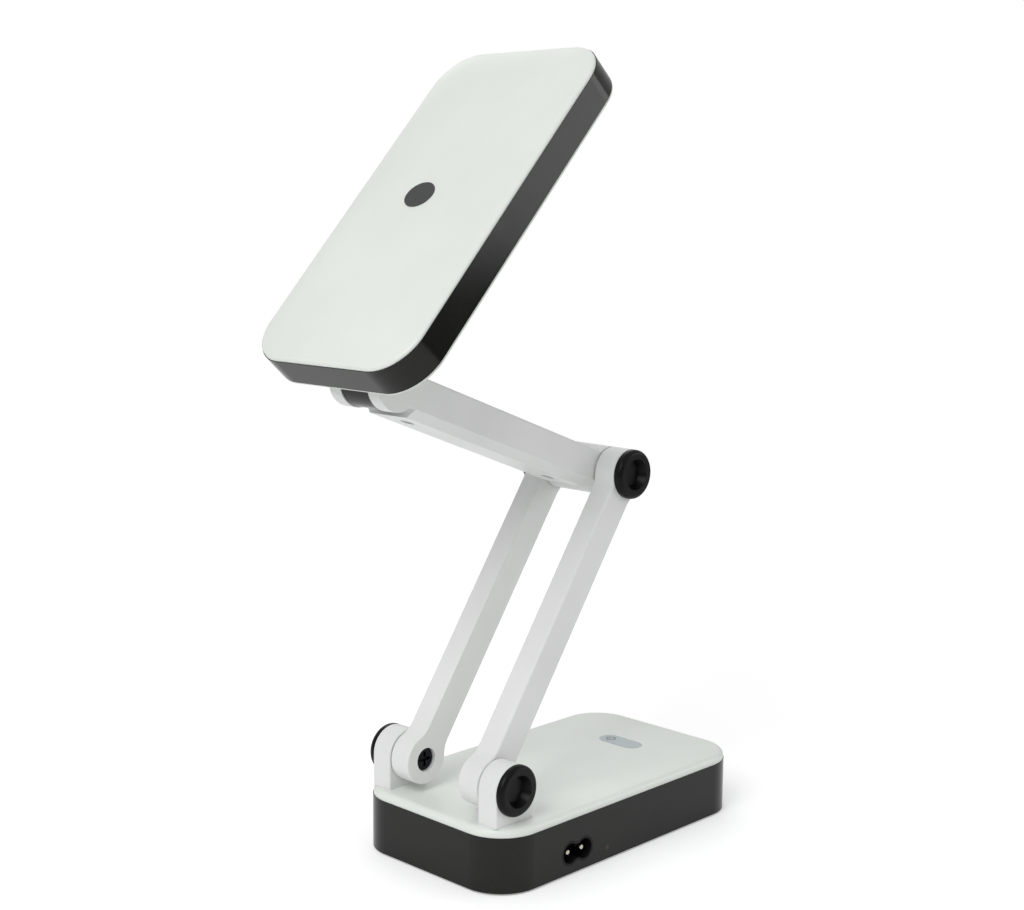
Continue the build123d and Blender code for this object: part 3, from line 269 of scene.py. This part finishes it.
def light_package():
    """Phosphor-filled light package: yellow resin, grainy from its powder."""
    material, tree, shader, place = new_material("phosphor resin", Roughness=0.4)
    powder = noise(tree, place, 0.3 * MM, detail=2.0)
    tree.links.new(two_tone(tree, powder, "#e9d465", "#d8bf45"), shader.inputs["Base Color"])
    bump(tree, shader, powder, 0.02 * MM)
    return material


def frosted_acrylic():
    """Frosted acrylic sheet: cloudy, with a fine pattern of dots that spreads the light behind it."""
    dot_spacing = 1.6 * MM
    material, tree, shader, place = new_material("frosted acrylic", IOR=1.49, Transmission_Weight=0.55,
                                                 Roughness=0.45)
    dots = add(tree, "ShaderNodeTexVoronoi", {"Vector": place}, Scale=1 / dot_spacing).outputs["Distance"]
    cloudy = two_tone(tree, dots, "#f2f4f5", "#e4e8ea", start=0.0, end=1.0)
    tree.links.new(cloudy, shader.inputs["Base Color"])
    bump(tree, shader, dots, 0.08 * MM)
    return material


def tinted_lens():
    """Tinted acrylic light pipe, dark red while the lamp isn't charging."""
    material, tree, shader, place = new_material("tinted acrylic lens", IOR=1.49, Transmission_Weight=0.6)
    flow = noise(tree, place, 0.8 * MM)
    tree.links.new(two_tone(tree, flow, "#5a1512", "#43100e"), shader.inputs["Base Color"])
    tree.links.new(spread(tree, flow, 0.08, 0.2), shader.inputs["Roughness"])
    return material


# The finish of each material slot in the record.
FINISHES = {
    "white_abs": cover_abs,
    "black_gloss_abs": black_abs,
    "rubber_pad": pad_rubber,
    "zinc_steel": zinc_steel,
    "socket_nylon": socket_nylon,
    "black_oxide_steel": black_oxide,
    "nickel_contact": nickel,
    "circuit_board": circuit_board,
    "components": component_plastic,
    "copper": copper,
    "battery_case": battery_plastic,
    "indicator_lens": tinted_lens,
    "key_print": key_plastic,
    "wire_sheath": wire_sheath,
    "reflector_white": reflector_white,
    "led_package": light_package,
    "diffuser_acrylic": frosted_acrylic,
    "badge_ink": badge_ink,
}
MATERIALS = {slot: make() for slot, make in FINISHES.items()}

# Pieces whose surface differs a little from the rest of their slot.
CAP_NODES = ("base_hinge_cap_left", "base_hinge_cap_right", "elbow_cap_left", "elbow_cap_right")
ARM_NODES = ("hinge_tower_left", "hinge_tower_right", "leg_shell_left", "leg_shell_right",
             "leg_cover_left", "leg_cover_right", "arm_upper_shell", "arm_lower_cover")


def dress(piece, material):
    """Give a piece one material, in place of any it has."""
    piece.data.materials.clear()
    piece.data.materials.append(material)


def dress_nodes(names, material):
    for name in names:
        dress(frame["nodes"][name], material)


def dress_lamp():
    """Every CAD node takes the finish of its material slot, and the caps and arms their own."""
    for part in frame["record"]["subparts"]:
        dress(frame["nodes"][part["node"]], MATERIALS[part["material_slot"]])
    dress_nodes(CAP_NODES, cap_plastic())
    dress_nodes(ARM_NODES, arm_abs())


# ---------------------------------------------------------------- printed symbol on the touch key

SYMBOL_RADIUS = 2.3 * MM
SYMBOL_STROKE = 0.55 * MM
SYMBOL_HEIGHT = 0.03 * MM                  # the thickness of the ink
SYMBOL_FROM_EDGE = 5.5 * MM                # from the key's left end to the middle of the ring
SYMBOL_HALF_GAP = math.radians(40)         # half the opening in the ring
SYMBOL_BAR_LENGTH = 1.1 * SYMBOL_RADIUS
SYMBOL_BAR_OUT = 0.75 * SYMBOL_RADIUS      # from the middle of the ring to the middle of the bar
RING_SIDES = 48


def start_clean():
    """Leave edit mode and deselect everything, because an operator acts on all that is selected."""
    if bpy.context.object and bpy.context.object.mode != "OBJECT":
        bpy.ops.object.mode_set(mode="OBJECT")
    bpy.ops.object.select_all(action="DESELECT")


def settle(piece, name):
    """Put the piece's place into its mesh, and name it."""
    start_clean()
    piece.select_set(True)
    bpy.context.view_layer.objects.active = piece
    bpy.ops.object.transform_apply(location=True, rotation=True, scale=True)
    piece.name = name
    piece.data.name = name
    return piece


def open_ring(place):
    """A flat ring with an opening on its -X side."""
    start_clean()
    bpy.ops.mesh.primitive_circle_add(vertices=RING_SIDES, radius=SYMBOL_RADIUS, fill_type="NGON",
                                      location=place)
    ring = bpy.context.object
    bpy.ops.object.mode_set(mode="EDIT")
    bpy.ops.mesh.select_all(action="SELECT")
    bpy.ops.mesh.inset(thickness=SYMBOL_STROKE, depth=0)
    bpy.ops.mesh.delete(type="FACE")
    bpy.ops.mesh.select_all(action="DESELECT")
    bpy.ops.object.mode_set(mode="OBJECT")
    for face in ring.data.polygons:
        from_gap = abs(math.atan2(face.center.y, -face.center.x))
        face.select = from_gap < SYMBOL_HALF_GAP
    bpy.ops.object.mode_set(mode="EDIT")
    bpy.ops.mesh.select_mode(type="FACE")
    bpy.ops.mesh.delete(type="FACE")
    bpy.ops.object.mode_set(mode="OBJECT")
    return ring


def flat_bar(place):
    """A flat bar that lies along X."""
    start_clean()
    bpy.ops.mesh.primitive_plane_add(size=1, location=place)
    bar = bpy.context.object
    bar.scale = (SYMBOL_BAR_LENGTH, SYMBOL_STROKE, 1)
    return bar


def touch_symbol():
    """The plain on-off symbol printed at one end of the touch key: an open ring with a bar in its opening."""
    low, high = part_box("touch_key")
    place = Vector(((low[0] + high[0]) / 2, high[1] - SYMBOL_FROM_EDGE, high[2]))
    ring = open_ring(place)
    flat_bar(place - Vector((SYMBOL_BAR_OUT, 0, 0)))
    ring.select_set(True)
    bpy.context.view_layer.objects.active = ring
    bpy.ops.object.join()
    symbol = settle(ring, "touch_symbol")
    bpy.ops.object.mode_set(mode="EDIT")
    bpy.ops.mesh.select_all(action="SELECT")
    bpy.ops.mesh.extrude_region_move(TRANSFORM_OT_translate={"value": (0, 0, SYMBOL_HEIGHT)})
    bpy.ops.mesh.select_all(action="SELECT")
    bpy.ops.mesh.normals_make_consistent(inside=False)
    bpy.ops.object.mode_set(mode="OBJECT")
    dress(symbol, MATERIALS["badge_ink"])
    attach(symbol, "base")


# ---------------------------------------------------------------- stage

FLOOR_SIZE = 5 * LAMP_HEIGHT
FLOOR_TONE_SIZE = 400 * MM
FLOOR_GLOW_SEEN = 0.28       # what the camera sees of the paper's own glow
FLOOR_GLOW_CAST = 0.14       # what the lamp gets of it, so that its lower parts aren't lit too flat

ROOM_LIGHT = 0.6             # brightness of the tent overhead
ROOM_DARK = 0.07             # brightness of the room below the paper's edge
ROOM_FADE = (-0.04, 0.2)     # how steeply a ray points up, from where the room starts to lighten to the tent


def make_floor():
    """A plain sheet of white paper that glows a little, so that it shows no edge."""
    bpy.ops.mesh.primitive_plane_add(size=FLOOR_SIZE, location=(0, 0, 0))
    floor = bpy.context.object
    floor.name = "studio_floor"
    material, tree, shader, place = new_material("white backdrop paper", Roughness=0.8,
                                                 Specular_IOR_Level=0.1, Emission_Color=(1, 1, 1, 1))
    tone = noise(tree, place, FLOOR_TONE_SIZE)
    tree.links.new(two_tone(tree, tone, "#f6f6f6", "#f3f4f4"), shader.inputs["Base Color"])
    seen = add(tree, "ShaderNodeLightPath").outputs["Is Camera Ray"]
    tree.links.new(spread(tree, seen, FLOOR_GLOW_CAST, FLOOR_GLOW_SEEN), shader.inputs["Emission Strength"])
    dress(floor, material)


def make_room():
    """A white tent over a dark room: light from above the paper's edge, darkness below it, white behind."""
    world = bpy.data.worlds.new("white tent")
    world.use_nodes = True
    tree = world.node_tree
    tent = tree.nodes["Background"]
    way = add(tree, "ShaderNodeTexCoord").outputs["Generated"]
    height = add(tree, "ShaderNodeSeparateXYZ", {"Vector": way}).outputs["Z"]
    fade = add(tree, "ShaderNodeMapRange", {"Value": height}, clamp=True, interpolation_type="SMOOTHSTEP")
    fade.inputs["From Min"].default_value, fade.inputs["From Max"].default_value = ROOM_FADE
    fade.inputs["To Min"].default_value = ROOM_DARK
    fade.inputs["To Max"].default_value = ROOM_LIGHT
    tree.links.new(fade.outputs["Result"], tent.inputs["Strength"])
    tent.inputs["Color"].default_value = (1, 1, 1, 1)
    plain = add(tree, "ShaderNodeBackground", Color=(1, 1, 1, 1), Strength=1.0)
    seen = add(tree, "ShaderNodeLightPath").outputs["Is Camera Ray"]
    mix = add(tree, "ShaderNodeMixShader")
    tree.links.new(seen, mix.inputs["Fac"])
    tree.links.new(tent.outputs["Background"], mix.inputs[1])
    tree.links.new(plain.outputs["Background"], mix.inputs[2])
    tree.links.new(mix.outputs["Shader"], tree.nodes["World Output"].inputs["Surface"])
    bpy.context.scene.world = world


def area_light(name, place, aim_height, width, height, power):
    """A soft box that faces the lamp's upright axis. Lengths are in lamp heights, and power is in watts."""
    data = bpy.data.lights.new(name, "AREA")
    data.shape = "RECTANGLE"
    data.size = width * LAMP_HEIGHT
    data.size_y = height * LAMP_HEIGHT
    data.energy = power
    light = bpy.data.objects.new(name, data)
    light.visible_camera = False
    light.location = Vector(place) * LAMP_HEIGHT
    aim = Vector((0, 0, aim_height)) * LAMP_HEIGHT
    light.rotation_euler = (aim - light.location).to_track_quat("-Z", "Y").to_euler()
    bpy.context.scene.collection.objects.link(light)


def make_lights():
    """A broad soft key from the hinge end, a box that shines in the head's band, and a weak one behind."""
    area_light("key", place=(-2.79, -0.587, 2.79), aim_height=0.5, width=2.055, height=2.055, power=7.1)
    area_light("band", place=(3.376, -3.083, 1.292), aim_height=0.88, width=2.055, height=1.409, power=2.6)
    area_light("rear", place=(2.055, 2.642, 2.642), aim_height=0.44, width=2.642, height=2.642, power=2)


# The camera looks at the middle of the lamp from its right front corner, a little above.
CAMERA_AIM = LAMP_MIDDLE + Vector((-1.127, 0, 1.846)) * MM
CAMERA_AZIMUTH = math.radians(-45.73)
CAMERA_ELEVATION = math.radians(8.73)
CAMERA_ROLL = math.radians(0.37)
CAMERA_DISTANCE = 715.83 * MM
CAMERA_LENS = 59.105         # millimetres, on a sensor 36 mm wide


def make_camera():
    """A camera that stands off from its aim, turned towards it and then rolled a little."""
    level = math.cos(CAMERA_ELEVATION)
    back = Vector((math.sin(CAMERA_AZIMUTH) * level, -math.cos(CAMERA_AZIMUTH) * level,
                   math.sin(CAMERA_ELEVATION)))
    data = bpy.data.cameras.new("camera")
    data.lens = CAMERA_LENS
    camera = bpy.data.objects.new("camera", data)
    turn = (-back).to_track_quat("-Z", "Y").to_matrix().to_4x4()
    roll = Matrix.Rotation(CAMERA_ROLL, 4, "Z")
    camera.matrix_world = Matrix.Translation(CAMERA_AIM + back * CAMERA_DISTANCE) @ turn @ roll
    bpy.context.scene.collection.objects.link(camera)
    bpy.context.scene.camera = camera


make_camera()
dress_lamp()
touch_symbol()
make_floor()
make_room()
make_lights()
bpy.context.scene.view_settings.view_transform = "Standard"
